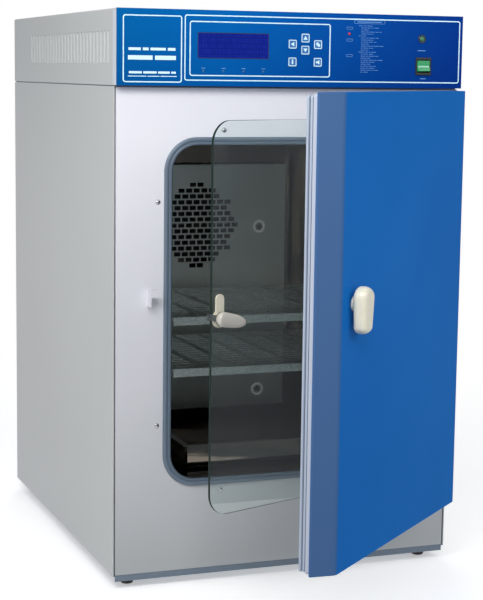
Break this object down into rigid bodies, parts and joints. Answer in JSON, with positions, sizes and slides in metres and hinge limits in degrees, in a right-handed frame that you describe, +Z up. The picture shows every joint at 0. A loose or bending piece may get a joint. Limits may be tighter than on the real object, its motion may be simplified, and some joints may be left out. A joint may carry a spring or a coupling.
{
  "type": "laboratory incubator",
  "caption": "Floor-standing laboratory incubator with a hinged insulated outer door, an inner glass door, a shelved steel chamber and a control box on top.",
  "frame": {"origin": "floor level, midway between the four feet", "axes": "+X to the right seen from the front, +Y to the back, +Z up; the doors are on the -Y side"},
  "size_m": [0.72, 1.3755, 1.122],
  "materials": {
    "cabinet_paint": "warm light grey powder coat",
    "front_paint": "satin white powder coat",
    "frame_steel": "blue-grey painted steel",
    "feet_rubber": "black-brown moulded rubber",
    "screw_steel": "dark polished screw heads",
    "plate_steel": "galvanised sheet",
    "chamber_steel": "mirror-polished stainless steel",
    "inner_steel": "bright stainless steel",
    "seal_rubber": "matt blue-grey silicone",
    "foam": "rigid insulation",
    "port_plastic": "dark grey plastic",
    "motor_metal": "dark cast housing",
    "fascia_blue": "deep blue panel with fine pale lines",
    "display": "dark indigo display window",
    "board": "green circuit board",
    "key_face": "pale-edged blue key",
    "lamp_green": "small green lamps and one red",
    "lamp_dome": "green domed lamp",
    "black_plastic": "black plastic",
    "rocker_green": "lit green rocker",
    "brass_fitting": "plain brass",
    "tap_red": "red plastic lever",
    "hinge_steel": "satin steel",
    "glass": "clear pane with a greenish edge",
    "cream": "cream moulded plastic",
    "door_blue": "bright blue powder coat",
    "liner_white": "white painted sheet",
    "trim_white": "white plastic frame",
    "gasket_white": "soft pale lilac magnetic gasket"
  },
  "bodies": {
    "cabinet": {"feet": "feet_rubber", "base_frame": "frame_steel", "left_side_panel": "cabinet_paint", "right_side_panel": "cabinet_paint", "rear_panel": "cabinet_paint", "front_panel": "front_paint", "panel_screws": "screw_steel", "body_top_plate": "frame_steel", "rear_bulkhead": "plate_steel", "chamber": "chamber_steel", "chamber_seal": "seal_rubber", "water_jacket": "plate_steel", "heater_tube": "screw_steel", "insulation": "foam", "duct_panel": "inner_steel", "sensor_ports": "port_plastic", "shelf_racks": "inner_steel", "fan_motor": "motor_metal", "control_shell": "cabinet_paint", "control_rear_panel": "cabinet_paint", "fascia": "fascia_blue", "display_window": "display", "display_module": "board", "keypad_board": "board", "status_lamps": "lamp_green", "alarm_lamp": "lamp_green", "power_lamp": "lamp_dome", "switch_bezel": "black_plastic", "main_board": "board", "transformer": "motor_metal", "mains_inlet": "black_plastic", "gas_inlet": "brass_fitting", "drain_tap": "brass_fitting", "hinge_leaves": "hinge_steel", "hinge_pins": "hinge_steel", "latch_keeper": "front_paint"},
    "outer_door": {"door_skin": "door_blue", "door_foam": "foam", "door_liner": "liner_white", "door_trim": "trim_white", "door_gasket": "gasket_white", "door_leaves": "hinge_steel", "door_handle": "cream"},
    "glass_door": {"glass_pane": "glass", "glass_clamps": "hinge_steel", "latch_rosette": "cream"},
    "latch": {"latch_cam": "hinge_steel", "latch_lever": "cream"},
    "upper_shelf": {"upper_shelf": "inner_steel"},
    "lower_shelf": {"lower_shelf": "inner_steel"},
    "water_pan": {"water_pan": "chamber_steel"},
    "fan": {"fan_impeller": "inner_steel"},
    "key_left": {"key_left": "key_face"},
    "key_right": {"key_right": "key_face"},
    "key_up": {"key_up": "key_face"},
    "key_down": {"key_down": "key_face"},
    "key_set": {"key_set": "key_face"},
    "key_mute": {"key_mute": "key_face"},
    "power_rocker": {"power_rocker": "rocker_green"},
    "drain_handle": {"drain_handle": "tap_red"}
  },
  "joints": [
    {"name": "outer_door_hinge", "type": "hinge", "parent": "cabinet", "child": "outer_door", "pos_m": [0.3445, -0.432, 0.56], "axis": [0, 0, 1], "range_deg": [-42, 63]},
    {"name": "glass_door_hinge", "type": "hinge", "parent": "cabinet", "child": "glass_door", "pos_m": [0.274, -0.4303, 0.555], "axis": [0, 0, 1], "range_deg": [-21, 31.5]},
    {"name": "latch_turn", "type": "hinge", "parent": "glass_door", "child": "latch", "pos_m": [-0.21796, -0.62204, 0.56], "axis": [-0.3584, 0.9336, 0], "range_deg": [-11, 34]},
    {"name": "upper_shelf_slide", "type": "slide", "parent": "cabinet", "child": "upper_shelf", "axis": [0, -1, 0], "range_m": [0, 0.04]},
    {"name": "lower_shelf_slide", "type": "slide", "parent": "cabinet", "child": "lower_shelf", "axis": [0, -1, 0], "range_m": [0, 0.04]},
    {"name": "water_pan_slide", "type": "slide", "parent": "cabinet", "child": "water_pan", "axis": [0, -1, 0], "range_m": [0, 0.03]},
    {"name": "fan_spin", "type": "hinge", "parent": "cabinet", "child": "fan", "pos_m": [-0.024, 0.099, 0.664], "axis": [0, 1, 0], "continuous": true},
    {"name": "key_left_press", "type": "slide", "parent": "cabinet", "child": "key_left", "axis": [0, 1, 0], "range_m": [0, 0.0008], "stiffness_N_per_m": 600},
    {"name": "key_right_press", "type": "slide", "parent": "cabinet", "child": "key_right", "axis": [0, 1, 0], "range_m": [0, 0.0008], "stiffness_N_per_m": 600},
    {"name": "key_up_press", "type": "slide", "parent": "cabinet", "child": "key_up", "axis": [0, 1, 0], "range_m": [0, 0.0008], "stiffness_N_per_m": 600},
    {"name": "key_down_press", "type": "slide", "parent": "cabinet", "child": "key_down", "axis": [0, 1, 0], "range_m": [0, 0.0008], "stiffness_N_per_m": 600},
    {"name": "key_set_press", "type": "slide", "parent": "cabinet", "child": "key_set", "axis": [0, 1, 0], "range_m": [0, 0.0008], "stiffness_N_per_m": 600},
    {"name": "key_mute_press", "type": "slide", "parent": "cabinet", "child": "key_mute", "axis": [0, 1, 0], "range_m": [0, 0.0008], "stiffness_N_per_m": 600},
    {"name": "power_rocker_tilt", "type": "hinge", "parent": "cabinet", "child": "power_rocker", "pos_m": [0.2736, -0.435, 1.022], "axis": [1, 0, 0], "range_deg": [0, 16]},
    {"name": "drain_handle_turn", "type": "hinge", "parent": "cabinet", "child": "drain_handle", "pos_m": [0.24, 0.439, 0.205], "axis": [0, 0, 1], "range_deg": [0, 90]}
  ],
  "couplings": [
    {"joint": "glass_door_hinge", "follows": "outer_door_hinge", "ratio": 0.5}
  ]
}
